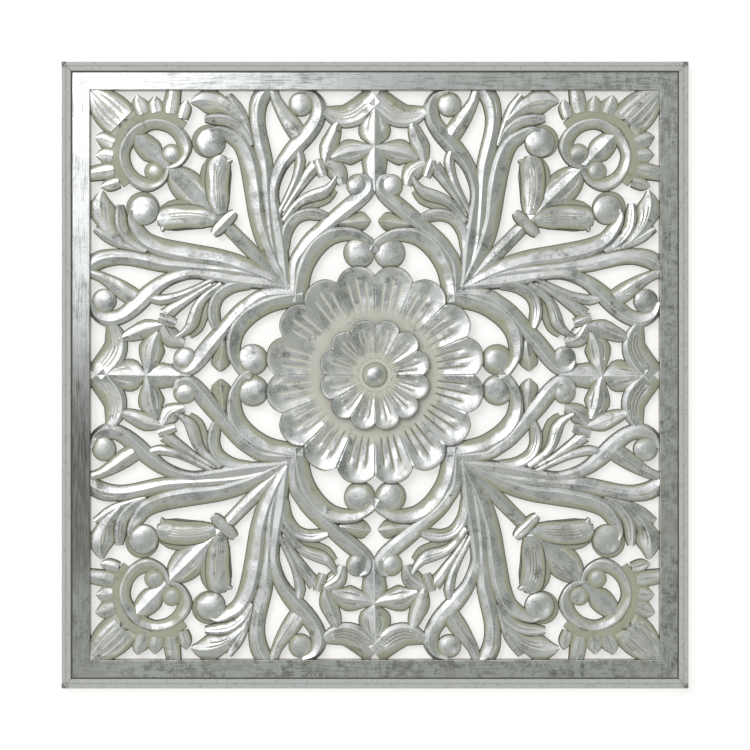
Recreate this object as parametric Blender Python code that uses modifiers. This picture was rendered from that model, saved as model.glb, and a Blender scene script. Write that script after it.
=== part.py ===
"""Carved wall panel: a square board pierced and carved in low relief, with mitred edge strips.

The panel hangs flat on a wall. Its back is the plane y = 0, its front looks along -Y, and the
origin is the middle of the back. The carving repeats in eight mirrored parts round its centre,
so one eighth is modelled, between the vertical axis and the diagonal, and then mirrored.

The carving is drawn flat, in hundredths of the half side of the pierced field, as (across, up)
from the centre. Every motif has cells that cover it and a height, a share of the board's
thickness, for each of its points. The board is solid where any motif covers it, and its front
lies at the height of the highest one.
"""

from math import atan2, cos, pi, radians, sin

import bmesh
import bpy
from mathutils import Vector
from mathutils.geometry import delaunay_2d_cdt

# Driving dimensions in metres.
PANEL_SIDE = 0.900
STRIP_WIDTH = 0.0135
STRIP_DEPTH = 0.018
STRIP_EDGE_RADIUS = 0.0016
STRIP_GROOVE_WIDTH = 0.0022
STRIP_GROOVE_DEPTH = 0.0014
JOINT_GAP = 0.0004
BORDER_WIDTH = 0.027
BOARD_THICKNESS = 0.015

BOARD_HALF = PANEL_SIDE / 2 - STRIP_WIDTH - JOINT_GAP
FIELD_HALF = BOARD_HALF - BORDER_WIDTH

# The board's edge in hundredths of the field's half.
BOARD_EDGE = 100 * BOARD_HALF / FIELD_HALF

# Mirrored halves share their points within this distance.
MIRROR_MERGE = 0.00002

# How finely the drawing is read: points to a stretch, least bend, and spacing of crests and valleys.
CURVE_STEPS = 2
OUTLINE_TOLERANCE = 0.36
FEATURE_SPACING = 3.3
FEATURE_CLEARANCE = 0.6

# Openings smaller than this, in square hundredths, are left solid.
LEAST_HOLE = 4.0

# How far the slope from the border down to the motifs reaches inwards.
BORDER_FOOT = 0.9

# A motif still sets the height this share of its half width past its own edge.
EDGE_REACH = 0.12

# Faces that meet at less than this angle shade as one smooth surface.
SMOOTH_ANGLE = radians(35)

# Heights of an edge and of the crest between its edges, as shares of the board's thickness.
LEVELS = {
    "layer": (0.42, 0.48),
    "leaf": (0.53, 0.80),
    "stem": (0.62, 0.95),
    "bar": (0.70, 0.80),
}

# Domes: sides, height of the rim and height of the top.
DOMES = {
    "ball": (12, 0.55, 0.94),
    "layer": (12, 0.40, 0.46),
    "boss": (16, 0.52, 0.80),
}

# The carving in hundredths of the field's half: across from the axis, up from the centre, width.
STROKES = {
    "inner_crook": ("stem", (
        (26.6, 25.4, 5.6), (26.1, 31.0, 5.8), (24.3, 38.0, 5.8), (20.2, 45.0, 6.6),
        (14.6, 48.9, 6.0), (8.0, 49.6, 4.8), (3.9, 48.3, 3.8), (1.0, 46.0, 3.8),
        (-0.8, 43.5, 3.0))),
    "ribbon": ("stem", (
        (29.2, 28.4, 4.4), (28.4, 39.0, 4.3), (25.5, 43.9, 5.0), (22.2, 47.9, 5.4),
        (15.6, 53.6, 5.8), (10.8, 57.8, 6.2), (5.8, 61.8, 6.2), (2.3, 65.3, 5.2),
        (2.4, 68.8, 3.4), (5.0, 70.4, 1.8))),
    "bract": ("layer", (
        (14.0, 53.4, 1.2), (9.0, 53.6, 4.4), (4.6, 54.3, 7.0), (2.6, 54.4, 4.4), (1.2, 54.6, 0.6))),
    "side_petal": ("leaf", (
        (-1.0, 80.4, 1.5), (3.5, 79.3, 5.5), (7.0, 78.9, 8.5), (9.8, 78.4, 9.3),
        (12.2, 77.6, 6.4), (15.2, 76.2, 2.4))),
    "upper_leaflet": ("leaf", (
        (17.8, 74.5, 2.5), (16.5, 80.0, 6.6), (14.8, 84.0, 5.8), (13.7, 87.0, 4.5), (12.6, 90.0, 1.5))),
    "lower_leaflet": ("leaf", (
        (17.8, 74.4, 4.8), (13.8, 72.2, 7.4), (12.1, 69.4, 5.6), (11.4, 67.0, 3.2))),
    "bud_collar": ("bar", ((20.1, 75.6, 2.6), (18.5, 70.6, 2.6))),
    "bud": ("leaf", (
        (31.8, 57.5, 2.0), (28.3, 63.3, 2.6), (25.4, 67.6, 3.6), (23.2, 71.0, 4.6), (21.0, 73.6, 5.6))),
    "crescent": ("leaf", (
        (17.8, 93.2, 3.5), (15.0, 92.0, 6.5), (11.0, 91.2, 8.4), (7.0, 92.4, 9.4),
        (3.2, 95.3, 9.0), (-1.0, 98.8, 8.0))),
    "top_crook": ("stem", (
        (31.2, 30.0, 2.5), (32.4, 37.0, 5.0), (33.4, 46.0, 5.8), (35.0, 56.0, 5.0),
        (35.9, 65.0, 4.6), (33.2, 73.5, 5.0), (29.0, 79.3, 6.2), (24.3, 84.3, 6.4),
        (20.7, 89.2, 5.8), (19.7, 94.0, 5.8), (21.5, 98.2, 3.8), (25.5, 99.8, 2.0))),
    "strap": ("leaf", (
        (36.0, 101.0, 3.5), (34.6, 96.5, 4.0), (32.0, 92.0, 5.5), (29.2, 88.0, 6.8), (27.0, 84.5, 6.5))),
    "finger": ("stem", (
        (38.0, 101.0, 6.0), (40.7, 96.5, 6.6), (41.6, 91.0, 6.0), (41.2, 86.0, 5.8),
        (40.0, 80.0, 6.0), (38.6, 74.0, 5.5), (37.9, 66.0, 4.4), (37.2, 56.0, 3.4),
        (36.0, 46.0, 3.0), (33.8, 37.0, 2.0))),
    "small_leaf": ("leaf", (
        (51.4, 98.6, 2.4), (48.6, 94.0, 4.3), (46.3, 90.0, 3.6), (44.6, 86.0, 2.0), (43.0, 81.0, 0.8))),
    "cap_leaf": ("leaf", (
        (64.8, 96.0, 1.0), (61.0, 96.5, 7.0), (57.5, 96.0, 9.2), (54.0, 95.0, 6.5),
        (50.5, 93.0, 4.6), (46.5, 89.5, 3.0))),
    "strap_leaf": ("leaf", (
        (60.0, 90.0, 2.6), (56.0, 89.9, 4.6), (52.0, 89.4, 4.8), (48.5, 87.5, 4.5),
        (45.5, 84.5, 3.5), (43.5, 80.5, 2.0))),
    "main_stem": ("stem", (
        (58.0, 85.6, 1.2), (55.5, 86.2, 2.6), (51.5, 84.2, 5.0), (47.3, 81.0, 6.2),
        (44.6, 75.0, 6.8), (42.6, 65.0, 7.0), (41.3, 55.0, 6.2), (39.0, 47.0, 6.0),
        (36.0, 40.0, 4.6), (31.5, 31.5, 4.0))),
    "tulip_layer": ("layer", (
        (55.8, 60.0, 9.0), (56.3, 67.0, 11.0), (55.8, 72.5, 10.5), (55.0, 77.2, 5.0))),
    "tulip_lobe": ("stem", (
        (54.3, 56.5, 4.0), (55.2, 61.0, 8.5), (55.6, 66.5, 8.8), (55.2, 70.5, 8.6),
        (54.0, 74.0, 7.2), (51.6, 75.0, 3.0), (50.2, 75.1, 0.8))),
    "horn": ("stem", (
        (84.7, 84.7, 4.8), (80.8, 87.5, 4.4), (77.0, 88.4, 4.2), (72.2, 87.2, 4.4),
        (68.5, 84.1, 5.0), (66.9, 80.3, 5.2), (67.1, 77.0, 3.2), (68.7, 74.7, 2.6),
        (71.0, 73.4, 2.2), (73.6, 72.9, 1.4))),
    "twig_leaf": ("leaf", (
        (33.8, 56.5, 2.0), (31.0, 62.0, 2.6), (28.6, 67.0, 3.0), (27.2, 71.0, 3.4),
        (26.3, 75.5, 4.0), (27.0, 79.0, 3.0))),
    "bright_leaf": ("leaf", (
        (31.8, 54.0, 3.0), (27.5, 59.8, 3.2), (23.5, 62.4, 4.2), (19.0, 63.8, 4.8),
        (16.2, 65.6, 3.6), (14.4, 68.0, 2.4), (13.4, 70.0, 1.6))),
    "leaf_layer": ("layer", (
        (30.5, 55.5, 4.4), (22.0, 60.5, 5.0), (17.0, 62.8, 5.0), (14.2, 65.5, 3.0))),
    "hook_leaf": ("leaf", (
        (31.5, 44.0, 3.0), (31.0, 50.0, 4.4), (28.0, 54.8, 4.6), (23.8, 56.6, 4.6),
        (20.0, 56.4, 4.6), (16.6, 55.6, 3.0))),
    "fan_scallop_outer": ("leaf", (
        (80.9, 88.5, 4.0), (82.4, 94.0, 6.2), (83.7, 96.4, 4.0), (84.0, 97.9, 0.6))),
    "fan_scallop_inner": ("leaf", (
        (77.0, 88.5, 5.0), (77.6, 94.5, 5.6), (77.9, 96.3, 3.8), (78.0, 97.6, 0.6))),
    "fan_flute": ("leaf", (
        (72.6, 88.5, 4.5), (71.8, 95.0, 7.0), (70.8, 98.4, 5.0), (70.8, 101.0, 5.0))),
    "fan_end": ("leaf", ((68.6, 86.5, 4.0), (67.0, 92.0, 5.0), (66.4, 95.0, 4.4), (66.6, 96.2, 3.6))),
    "kite": ("leaf", (
        (54.0, 54.0, 8.0), (60.8, 60.8, 10.0), (66.3, 66.3, 12.0), (70.1, 70.1, 8.9),
        (72.6, 72.6, 3.0))),
    "inner_kite": ("leaf", (
        (84.0, 84.0, 6.0), (81.0, 81.0, 8.4), (78.5, 78.5, 8.6), (76.0, 76.0, 5.0), (72.5, 72.5, 4.0))),
    "corner_leaf": ("leaf", (
        (85.6, 85.6, 10.6), (90.9, 90.9, 13.3), (96.2, 96.2, 10.8), (99.0, 99.0, 6.0),
        (101.8, 101.8, 0.6))),
    "root_layer": ("layer", ((23.0, 23.0, 4.0), (32.0, 32.0, 4.0))),
    "tulip_stem": ("stem", ((33.0, 33.0, 1.5), (37.0, 37.0, 3.4), (42.0, 42.0, 5.2), (52.0, 52.0, 5.0))),
    "tulip_collar": ("bar", ((51.8, 51.8, 10.6), (54.6, 54.6, 11.0))),
    "low_petal": ("leaf", (
        (0.0, 80.5, 1.5), (0.0, 76.0, 9.0), (0.0, 73.5, 8.8), (0.0, 71.0, 8.0), (0.0, 68.0, 4.2),
        (0.0, 64.6, 0.4))),
    "high_petal": ("leaf", (
        (0.0, 80.7, 1.5), (0.0, 83.5, 10.0), (0.0, 87.0, 11.6), (0.0, 90.0, 9.0), (0.0, 93.0, 4.0),
        (0.0, 95.2, 0.4))),
}

# Balls in the crooks and the boss of the flower: across, up and radius, in the same measure.
BALLS = {
    "flower_boss": ("boss", 0.0, 0.0, 4.2),
    "inner_ball": ("ball", 5.4, 43.0, 5.6),
    "ribbon_ball": ("ball", 6.0, 66.8, 4.1),
    "top_ball": ("ball", 26.1, 95.3, 4.3),
    "stem_ball": ("ball", 58.0, 81.8, 5.3),
    "stem_ball_layer": ("layer", 59.0, 82.3, 6.4),
    "horn_ball": ("ball", 71.6, 77.75, 3.6),
}

# The flower: petals, radii of tip and notch, and rings (share of the radius, heights at rib and notch).
FLOWERS = {
    "outer_flower": (16, 38.8, 35.1, ((1.00, 0.86, 0.62), (0.80, 0.74, 0.56), (0.56, 0.42, 0.40))),
    "inner_flower": (12, 18.9, 16.5, ((1.00, 0.84, 0.64), (0.70, 0.72, 0.56), (0.36, 0.48, 0.46))),
}
PETAL_BLUNTNESS = 2.5
SAMPLES_PER_PETAL = 4


def clear_scene():
    for item in list(bpy.data.objects):
        bpy.data.objects.remove(item, do_unlink=True)


def make_collection(name):
    collection = bpy.data.collections.new(name)
    bpy.context.scene.collection.children.link(collection)
    return collection


def make_material(name, colour, roughness, metallic):
    material = bpy.data.materials.new(name)
    material.use_nodes = True
    shader = material.node_tree.nodes["Principled BSDF"]
    shader.inputs["Base Color"].default_value = (*colour, 1.0)
    shader.inputs["Roughness"].default_value = roughness
    shader.inputs["Metallic"].default_value = metallic
    return material


def curve_through(rows):
    """Rows along a smooth curve through the given rows."""
    knots = [Vector(row) for row in rows]
    first, last = 2 * knots[0] - knots[1], 2 * knots[-1] - knots[-2]
    padded = [first] + knots + [last]
    curve = []
    for before, start, end, after in zip(padded, padded[1:], padded[2:], padded[3:]):
        for step in range(CURVE_STEPS):
            t = step / CURVE_STEPS
            curve.append(0.5 * (
                2 * start + (end - before) * t + (2 * before - 5 * start + 4 * end - after) * t ** 2
                + (3 * start - before - 3 * end + after) * t ** 3))
    return curve + [knots[-1]]


def stroke_motif(level, rows):
    """A stem or leaf: a ridge that follows its spine between two lower edges."""
    edge, crest = LEVELS[level]
    curve = curve_through(rows) if len(rows) > 2 else [Vector(row) for row in rows]
    spine = [row.xy for row in curve]
    widths = [row.z for row in curve]
    last = len(spine) - 1
    left, right = [], []
    for i, point in enumerate(spine):
        direction = (spine[min(i + 1, last)] - spine[max(i - 1, 0)]).normalized()
        side = Vector((-direction.y, direction.x)) * widths[i] / 2
        left.append(point + side)
        right.append(point - side)

    def height(point):
        reach = []
        for i in range(last):
            run = spine[i + 1] - spine[i]
            t = min(max((point - spine[i]).dot(run) / run.length_squared, 0), 1)
            half = (widths[i] + t * (widths[i + 1] - widths[i])) / 2
            reach.append((point - spine[i] - t * run).length / half)
        nearest = min(reach)
        return edge + (crest - edge) * max(1 - nearest, 0) if nearest < 1 + EDGE_REACH else None

    cells = [(left[i], left[i + 1], right[i + 1], right[i]) for i in range(last)]
    return {"cells": cells, "height": height, "edge": edge, "ridges": [spine[1:-1]], "edges": [left, right]}


def ball_motif(level, across, up, radius):
    """A ball in a crook: a dome on an upright rim."""
    sides, rim, top = DOMES[level]
    centre = Vector((across, up))

    def ring(share):
        angles = [2 * pi * i / sides for i in range(sides)]
        return [centre + share * radius * Vector((cos(a), sin(a))) for a in angles]

    def height(point):
        reach = (point - centre).length / radius
        return rim + (top - rim) * max(1 - reach ** 2, 0) ** 0.5 if reach < 1 + EDGE_REACH else None

    outline, shoulder = ring(1.0), ring(0.55)[::2]
    return {"cells": [outline], "height": height, "edge": rim, "ridges": [shoulder + shoulder[:1]],
            "edges": [outline + outline[:1]]}


def petal_bulge(petals, angle):
    """How far a petal swells at this angle: 0 in its notches and 1 at its middle."""
    offset = abs(2 * (petals * angle / (2 * pi) % 1) - 1)
    return 1 - offset ** PETAL_BLUNTNESS


def flower_motif(petals, tip, notch, profile):
    """A ring of petals with scalloped tips, rising outwards from a hollow round the centre."""
    def ring(share):
        count = petals * SAMPLES_PER_PETAL
        points = []
        for i in range(-1, count // 8 + 2):
            angle = 2 * pi * i / count
            radius = share * (notch + (tip - notch) * petal_bulge(petals, angle))
            points.append(radius * Vector((sin(angle), cos(angle))))
        return points

    def height(point):
        angle = atan2(point.x, point.y)
        bulge = petal_bulge(petals, angle)
        share = point.length / (notch + (tip - notch) * bulge)
        if share > 1 + EDGE_REACH / 8:
            return None
        levels = [(at, groove + (rib - groove) * bulge) for at, rib, groove in profile]
        for (outer, high), (inner, low) in zip(levels, levels[1:]):
            if share >= inner:
                return low + (high - low) * min((share - inner) / (outer - inner), 1)
        return levels[-1][1]

    rim = ring(1.0)
    ridges = [ring(share) for share, rib, groove in profile]
    return {"cells": [rim + [Vector((0, 0))]], "height": height, "edge": profile[0][2], "ridges": ridges,
            "edges": []}


def border_motif():
    """One rail of the flat border, from the axis past the corner."""
    cell = [Vector(point) for point in (
        (-1, 100), (BOARD_EDGE + 1, 100), (BOARD_EDGE + 1, BOARD_EDGE + 1), (-1, BOARD_EDGE + 1))]

    def height(point):
        return 1.0 if point.y >= 100 - 1e-4 else None

    return {"cells": [cell], "height": height, "edge": 1.0, "ridges": [], "edges": []}


def border_step():
    """The border's inner edge, and the foot of its slope down to the motifs that meet it."""
    return [[Vector((0, level)), Vector((level, level))] for level in (100, 100 - BORDER_FOOT)]


def all_motifs():
    motifs = [border_motif()]
    motifs += [flower_motif(*flower) for flower in FLOWERS.values()]
    motifs += [stroke_motif(*stroke) for stroke in STROKES.values()]
    motifs += [ball_motif(*ball) for ball in BALLS.values()]
    return motifs


def front_height(motifs, point):
    """The height of the highest motif over a point, or of the nearest edge where none reaches it."""
    heights = [height for height in (motif["height"](point) for motif in motifs) if height is not None]
    return max(heights) if heights else LEVELS["leaf"][0]


def triangulate(points, edges, faces):
    """The flat triangles that keep all these edges, with the given faces that cover each of them."""
    found = delaunay_2d_cdt(points, edges, faces, 0, 1e-5, True)
    return found[0], found[2], found[5]


def wedge_cell():
    return [Vector((0, 0)), Vector((BOARD_EDGE, BOARD_EDGE)), Vector((0, BOARD_EDGE))]


def signed_area(outline):
    """The area inside an outline, negative where its points run clockwise."""
    return sum(before.cross(point) for before, point in zip([outline[-1], *outline], outline)) / 2


def anticlockwise(cell):
    """The same cell, with its points in anticlockwise order."""
    return cell if signed_area(cell) > 0 else cell[::-1]


def on_mirror_plane(a, b):
    """Whether the line from a to b lies in the axis or in the diagonal."""
    return max(abs(a.x), abs(b.x)) < 1e-4 or max(abs(a.x - a.y), abs(b.x - b.y)) < 1e-4


def solid_outlines(motifs):
    """The closed outlines of everything that the motifs cover in the eighth."""
    points, faces = [], []
    for cell in [wedge_cell()] + [cell for motif in motifs for cell in motif["cells"]]:
        faces.append(list(range(len(points), len(points) + len(cell))))
        points += anticlockwise(cell)
    places, triangles, owners = triangulate(points, [], faces)
    solid = [triangle for triangle, owner in zip(triangles, owners) if 0 in owner and len(owner) > 1]
    sides = {(t[i], t[(i + 1) % 3]) for t in solid for i in range(3)}
    onward = {}
    for start, end in sides:
        if (end, start) not in sides:
            onward.setdefault(start, []).append(end)
    outlines = []
    while onward:
        start = min(onward)
        loop = [start]
        while loop[-1] in onward:
            ends = onward[loop[-1]]
            following = ends.pop()
            if not ends:
                del onward[loop[-1]]
            if following == start:
                break
            loop.append(following)
        outlines.append([places[i] for i in loop])
    return [outline for outline in outlines if abs(signed_area(outline)) > LEAST_HOLE]


def simplified(outline):
    """An outline without the points that hardly bend it."""
    points = list(outline)
    while len(points) > 3:
        bends = []
        for i, point in enumerate(points):
            before, after = points[i - 1], points[(i + 1) % len(points)]
            chord = after - before
            reach = (point - before).cross(chord) / max(chord.length, 1e-9)
            bends.append(abs(reach))
        least = min(range(len(points)), key=bends.__getitem__)
        if bends[least] > OUTLINE_TOLERANCE:
            break
        del points[least]
    return points


def distance_to_line(point, a, b):
    run = b - a
    t = min(max((point - a).dot(run) / max(run.length_squared, 1e-12), 0), 1)
    return (point - a - t * run).length


def feature_lines(motifs, borders):
    """The crests and valleys that show on the front, clear of the outlines and of each other."""
    kept, lines = [], []
    for motif in motifs:
        ridges = [(line, True) for line in motif["ridges"]]
        edges = [(line, False) for line in motif["edges"]]
        for line, own in ridges + edges:
            run = []
            for point in line:
                place = point.copy()
                inside = -1e-4 <= place.x <= place.y + 1e-4 <= BOARD_EDGE
                if abs(place.x) < 0.4:
                    place.x = 0.0
                if abs(place.x - place.y) < 0.5:
                    place.x = place.y = (place.x + place.y) / 2
                height = motif["height"](place) if own else motif["edge"]
                shows = height is not None and front_height(motifs, place) < height + 0.02
                clear = all(distance_to_line(place, a, b) > FEATURE_CLEARANCE or on_mirror_plane(a, b)
                            for a, b in borders)
                near = [other for other in kept if (other - place).length < FEATURE_SPACING]
                if inside and shows and clear and not near:
                    kept.append(place)
                    run.append(place)
                elif near and inside and shows:
                    run.append(near[0])
                else:
                    if run:
                        lines.append(run)
                    run = []
            if run:
                lines.append(run)
    return lines


def inside_outlines(point, borders):
    """Whether a ray to the right of the point crosses the outlines an odd number of times."""
    odd = False
    for a, b in borders:
        if (a.y > point.y) != (b.y > point.y):
            crossing = a.x + (point.y - a.y) * (b.x - a.x) / (b.y - a.y)
            odd ^= crossing > point.x
    return odd


def bounded_triangles(points, edges, borders):
    """Triangles between these points and edges, of those that the outlines enclose."""
    places, triangles, owners = triangulate(points, edges, [])
    enclosed = []
    for triangle in triangles:
        middle = sum((places[i] for i in triangle), Vector((0, 0))) / 3
        if inside_outlines(middle, borders):
            enclosed.append([places[i] for i in triangle])
    return enclosed


def eighth_body(motifs):
    """One eighth of the board as front, back and walls, open where it meets its mirror images."""
    outlines = [simplified(outline) for outline in solid_outlines(motifs)]
    borders = [(loop[i - 1], loop[i]) for loop in outlines for i in range(len(loop))]
    step = border_step()
    lines = [loop + loop[:1] for loop in outlines] + step
    lines += feature_lines(motifs, borders + [tuple(line) for line in step])
    points = [point for line in lines for point in line]
    starts = [sum(len(line) for line in lines[:i]) for i in range(len(lines))]
    edges = [(start + i, start + i + 1) for start, line in zip(starts, lines) for i in range(len(line) - 1)]
    front = bounded_triangles(points, edges, borders)

    body = bmesh.new()
    corners = {}

    def corner(place, height):
        key = (round(place.x, 3), round(place.y, 3), height is None)
        if key not in corners:
            level = 0 if height is None else height * BOARD_THICKNESS
            corners[key] = body.verts.new((
                place.x * FIELD_HALF / 100, -level, place.y * FIELD_HALF / 100))
        return corners[key]

    sides = {}
    for triangle in front:
        levels = [front_height(motifs, place) for place in triangle]
        body.faces.new([corner(place, level) for place, level in zip(triangle, levels)])
        for i in range(3):
            ends = [(round(place.x, 3), round(place.y, 3)) for place in (triangle[i - 1], triangle[i])]
            sides[tuple(ends)] = (triangle[i - 1], triangle[i], levels[i - 1], levels[i])
    rims = [side for ends, side in sides.items() if ends[::-1] not in sides]
    rim_points = [place for side in rims for place in side[:2]]
    rim_edges = [(2 * i, 2 * i + 1) for i in range(len(rims))]
    for triangle in bounded_triangles(rim_points, rim_edges, borders):
        body.faces.new([corner(place, None) for place in reversed(triangle)])
    for start, end, start_level, end_level in rims:
        if not on_mirror_plane(start, end):
            body.faces.new((
                corner(end, end_level), corner(start, start_level), corner(start, None), corner(end, None)))
    return body


def add_object(name, body, collection, material):
    mesh = bpy.data.meshes.new(name)
    body.to_mesh(mesh)
    body.free()
    mesh.shade_smooth()
    mesh.set_sharp_from_angle(angle=SMOOTH_ANGLE)
    mesh.materials.append(material)
    item = bpy.data.objects.new(name, mesh)
    collection.objects.link(item)
    return item


def add_mirror(item, name, guide, axes):
    mirror = item.modifiers.new(name, "MIRROR")
    mirror.mirror_object = guide
    for axis in range(3):
        mirror.use_axis[axis] = axis in axes
    mirror.merge_threshold = MIRROR_MERGE


def make_panel(collection, guides, material):
    """The pierced board: one eighth, mirrored in the diagonal and then in both axes."""
    panel = add_object("carved_panel", eighth_body(all_motifs()), collection, material)
    diagonal = bpy.data.objects.new("diagonal_guide", None)
    diagonal.rotation_euler.y = radians(45)
    diagonal.hide_render = True
    guides.objects.link(diagonal)
    add_mirror(panel, "mirror_diagonal", diagonal, (0,))
    add_mirror(panel, "mirror_axes", None, (0, 2))
    return panel


def strip_profile():
    """The strip's section as (inwards from its outer face, forwards from its back)."""
    middle = STRIP_WIDTH / 2
    rounding = [
        (STRIP_EDGE_RADIUS * (1 - cos(angle)), STRIP_DEPTH - STRIP_EDGE_RADIUS * (1 - sin(angle)))
        for angle in (0, pi / 6, pi / 3, pi / 2)]
    groove = [
        (middle - STRIP_GROOVE_WIDTH / 2, STRIP_DEPTH), (middle, STRIP_DEPTH - STRIP_GROOVE_DEPTH),
        (middle + STRIP_GROOVE_WIDTH / 2, STRIP_DEPTH)]
    inner = [(STRIP_WIDTH - inwards, forwards) for inwards, forwards in reversed(rounding)]
    return [(0, 0)] + rounding + groove + inner + [(STRIP_WIDTH, 0)]


def strip_body():
    """The top strip: its section run from one mitre to the other."""
    body = bmesh.new()
    half = PANEL_SIDE / 2
    mitre_gap = JOINT_GAP / 2 * 2 ** 0.5
    ends = []
    for side in (-1, 1):
        ends.append([
            body.verts.new((side * (half - inwards - mitre_gap), -forwards, half - inwards))
            for inwards, forwards in strip_profile()])
    left, right = ends
    for i in range(len(left)):
        body.faces.new((left[i - 1], left[i], right[i], right[i - 1]))
    body.faces.new(left)
    body.faces.new(reversed(right))
    bmesh.ops.recalc_face_normals(body, faces=body.faces)
    return body


def make_strips(collection, material):
    """Four like strips, each turned a quarter from the last."""
    top = add_object("edge_strip_top", strip_body(), collection, material)
    for turn, side in enumerate(("right", "bottom", "left"), start=1):
        strip = bpy.data.objects.new("edge_strip_" + side, top.data)
        strip.rotation_euler.y = turn * pi / 2
        collection.objects.link(strip)


def main():
    clear_scene()
    parts = make_collection("carved_wall_panel")
    guides = make_collection("guides")
    make_panel(parts, guides, make_material("silver_leaf", (0.55, 0.56, 0.53), 0.38, 0.6))
    make_strips(parts, make_material("grey_paint", (0.42, 0.44, 0.42), 0.55, 0.0))


main()
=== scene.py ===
import math

import bmesh
import bpy
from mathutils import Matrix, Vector
from mathutils.geometry import delaunay_2d_cdt


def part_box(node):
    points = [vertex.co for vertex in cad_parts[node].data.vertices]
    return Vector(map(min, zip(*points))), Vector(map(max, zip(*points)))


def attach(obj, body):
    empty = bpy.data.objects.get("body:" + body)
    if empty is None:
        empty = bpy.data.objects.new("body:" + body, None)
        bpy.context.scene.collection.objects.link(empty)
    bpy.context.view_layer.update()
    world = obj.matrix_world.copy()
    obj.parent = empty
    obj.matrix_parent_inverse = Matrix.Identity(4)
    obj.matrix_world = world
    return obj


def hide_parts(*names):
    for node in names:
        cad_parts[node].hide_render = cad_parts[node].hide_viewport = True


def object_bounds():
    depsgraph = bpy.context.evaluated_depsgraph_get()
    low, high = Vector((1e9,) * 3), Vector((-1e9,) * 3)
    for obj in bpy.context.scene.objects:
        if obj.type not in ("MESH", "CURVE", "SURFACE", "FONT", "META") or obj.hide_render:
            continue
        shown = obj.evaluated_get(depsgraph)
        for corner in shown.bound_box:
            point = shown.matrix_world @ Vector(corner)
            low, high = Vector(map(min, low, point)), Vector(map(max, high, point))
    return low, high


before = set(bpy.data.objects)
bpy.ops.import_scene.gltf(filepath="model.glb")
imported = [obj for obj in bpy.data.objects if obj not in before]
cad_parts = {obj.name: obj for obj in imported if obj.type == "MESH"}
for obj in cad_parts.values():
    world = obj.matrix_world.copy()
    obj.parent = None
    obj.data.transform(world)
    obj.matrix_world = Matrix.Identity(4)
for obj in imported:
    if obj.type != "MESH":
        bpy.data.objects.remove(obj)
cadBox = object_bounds()
print("frame loaded")

# The board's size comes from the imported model. The carving is drawn in hundredths of the half side
# of the pierced field, as (across, up) from the centre, and heights are in millimetres from the back.
boardLow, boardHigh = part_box("carved_panel")
board = {
    "half": boardHigh.x * 1000,
    "thickness": -boardLow.y * 1000,
    "borderWidth": 27.0,
}
fieldHalf = board["half"] - board["borderWidth"]
unit = fieldHalf / 100  # millimetres in one hundredth

drawing = {
    "stationSpacing": 2.6,  # hundredths between the sections of a stroke where it runs straight
    "turnStep": 0.16,  # radians between the sections where it bends
    "planeColumns": 4,  # columns on each plane of a stroke
    "leastHalf": 0.08,  # hundredths, half the width of a tip
    "rimInset": 1.4,  # millimetres of rounded edge
    "rimDrop": 1.2,
    "mostInset": 0.3,  # share of the half width
    "rimClear": 1.6,  # insets that stay free of other columns
    "shoulderRim": 0.6,  # how much of the cut edge's colour the rounded edge takes
    "ridgeWidth": 0.085,  # share of the half width
    "grooveWidth": 0.075,  # share of the half width
    "grooveClear": 1.4,  # groove widths that stay free of other columns
    "grooveDepth": 1.3,  # millimetres
    "grooveShare": 0.12,  # a groove is no deeper than this share of the half width
    "grooveEnds": (0.12, 0.15),  # share of the stroke over which a groove starts and ends
    "deepestDrop": 5.6,  # millimetres from a crest to its edge
    "narrowSide": 0.6,  # a plane narrower than this share of the other is steeper
    "narrowSteep": 1.9,
    "slimHalf": 2.6,  # strokes slimmer than this on each side stand a little lower
    "slimDrop": 0.35,
    "jointFill": 0.33,  # millimetres of dirt and glue that close the joint to the edge strips
    "jointDepth": 1.0,  # millimetres
    "bevel": 0.8,  # millimetres, on the border's edges
    "borderStations": 24,
    "backInset": 0.2,  # millimetres the carving's back lies in from the border's
    "sharpAngle": 24,  # degrees
    "borderSharpAngle": 20,
    "flowerSharpAngle": 30,
    "weld": 0.00001,  # metres
}

# What carries each stroke's look: height of its crest in millimetres (top), slope of its two planes,
# where the crest runs (1 is the left edge as the stroke is drawn, -1 the right), the bow of its planes,
# how much leaf covers it, how pale a wash lies on it, how strongly a painted white highlight lies on
# its crest, and its cut lines, each as the place across it and the shares of its length where it starts
# and ends.
plainLook = {"crest": 0.0, "bow": -0.12, "grooves": (), "wash": 0.0, "crestHighlight": 1.0}
levels = {
    "layer": {"top": 7.0, "slope": 0.06, "leaf": 0.20, "crestHighlight": 0.0},
    "leaf": {"top": 11.8, "slope": 0.32, "leaf": 0.66},
    "stem": {"top": 13.6, "slope": 0.38, "leaf": 0.72},
    "bar": {"top": 12.6, "slope": 0.25, "leaf": 0.55},
    "flute": {"top": 12.1, "slope": 0.12, "bow": 0.2, "leaf": 0.62, "crestHighlight": 0.0,
              "grooves": ((0.0, 0.04, 0.86),)},
}

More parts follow.
